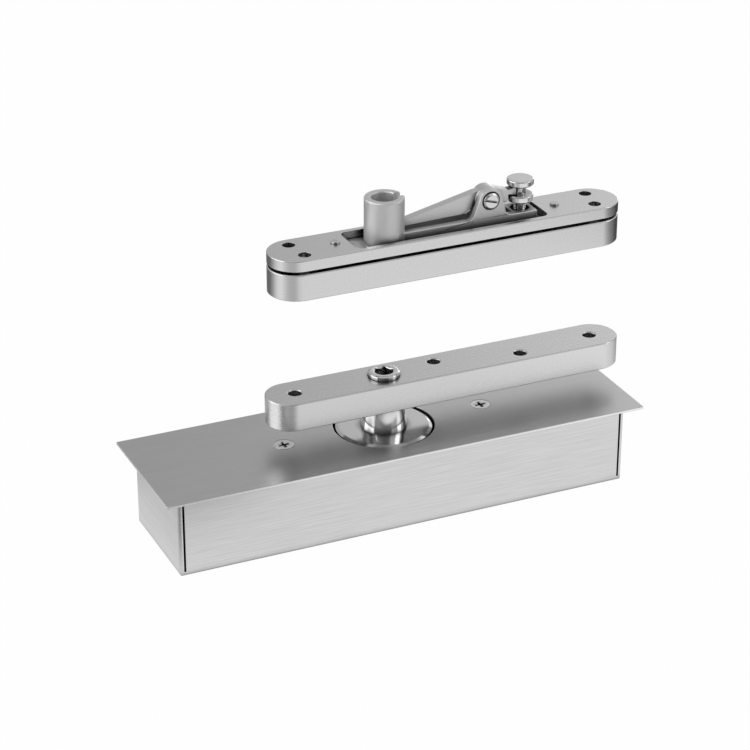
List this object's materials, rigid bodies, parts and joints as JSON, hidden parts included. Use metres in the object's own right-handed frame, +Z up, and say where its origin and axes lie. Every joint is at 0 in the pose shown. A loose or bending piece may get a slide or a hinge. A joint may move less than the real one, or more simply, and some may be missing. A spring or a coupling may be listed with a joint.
{
  "type": "centre-hung door pivot",
  "caption": "Centre-hung door pivot: floor bearing in a steel case with cover plate and door arm, and a top pivot whose pin is drawn up by a walking beam.",
  "frame": {"origin": "on the pivot axis, on the underside of the case", "axes": "+X along the door towards the arm's long end, +Y towards the back, +Z up along the pivot axis"},
  "size_m": [0.2932, 0.083, 0.1883],
  "materials": {
    "case_steel": "brushed along its length",
    "cover_satin": "fine brushed",
    "screw_bright": "polished",
    "cast_iron": "as cast, painted",
    "screw_dark": "oiled",
    "zinc_steel": "zinc plated",
    "race_steel": "ground",
    "ball_steel": "polished",
    "cage_brass": "pressed",
    "bush_bronze": "sintered",
    "seal_rubber": "matt",
    "spindle_polished": "polished",
    "arm_satin": "satin",
    "top_satin": "satin",
    "washer_plastic": "plain",
    "cast_satin": "fine cast, satin",
    "pin_steel": "ground",
    "beam_satin": "fine cast, satin",
    "spool_polished": "turned and polished"
  },
  "bodies": {
    "base": {"cement_case": "case_steel", "cover_plate": "cover_satin", "cover_screws": "screw_bright", "bearing_housing": "cast_iron", "levelling_screws": "screw_dark", "clamp_studs": "zinc_steel", "clamp_washers": "zinc_steel", "clamp_nuts": "zinc_steel", "thrust_race_lower": "race_steel", "thrust_balls": "ball_steel", "ball_cage": "cage_brass", "radial_bush": "bush_bronze", "bearing_cap": "zinc_steel", "cap_screws": "zinc_steel", "seal_ring": "seal_rubber", "frame_plate": "top_satin", "mechanism_housing": "cast_satin", "tongue_screws": "screw_dark", "beam_screw": "screw_bright"},
    "arm": {"spindle": "spindle_polished", "bottom_arm": "arm_satin", "arm_screw": "spindle_polished", "thrust_race_upper": "race_steel"},
    "door_top": {"door_plate": "top_satin", "door_bush": "bush_bronze", "wear_washer": "washer_plastic"},
    "pin": {"pivot_pin": "pin_steel"},
    "beam": {"walking_beam": "beam_satin"},
    "adjuster": {"adjusting_screw": "spool_polished"}
  },
  "joints": [
    {"name": "door_swing", "type": "hinge", "parent": "base", "child": "arm", "pos_m": [0, 0, 0.0635], "axis": [0, 0, 1], "continuous": true},
    {"name": "top_swing", "type": "hinge", "parent": "base", "child": "door_top", "pos_m": [0, 0, 0.1574], "axis": [0, 0, 1], "continuous": true},
    {"name": "screw_drop", "type": "slide", "parent": "base", "child": "adjuster", "axis": [0, 0, -1], "range_m": [0, 0.00338]},
    {"name": "beam_rock", "type": "hinge", "parent": "base", "child": "beam", "pos_m": [0.0614, 0, 0.1781], "axis": [0, 1, 0], "range_deg": [0, 11.25]},
    {"name": "pin_lift", "type": "slide", "parent": "base", "child": "pin", "axis": [0, 0, 1], "range_m": [0, 0.01202]}
  ],
  "couplings": [
    {"joint": "top_swing", "follows": "door_swing", "ratio": 1},
    {"joint": "beam_rock", "follows": "screw_drop", "rad_per_m": 57.803},
    {"joint": "pin_lift", "follows": "screw_drop", "ratio": 3.5491}
  ]
}
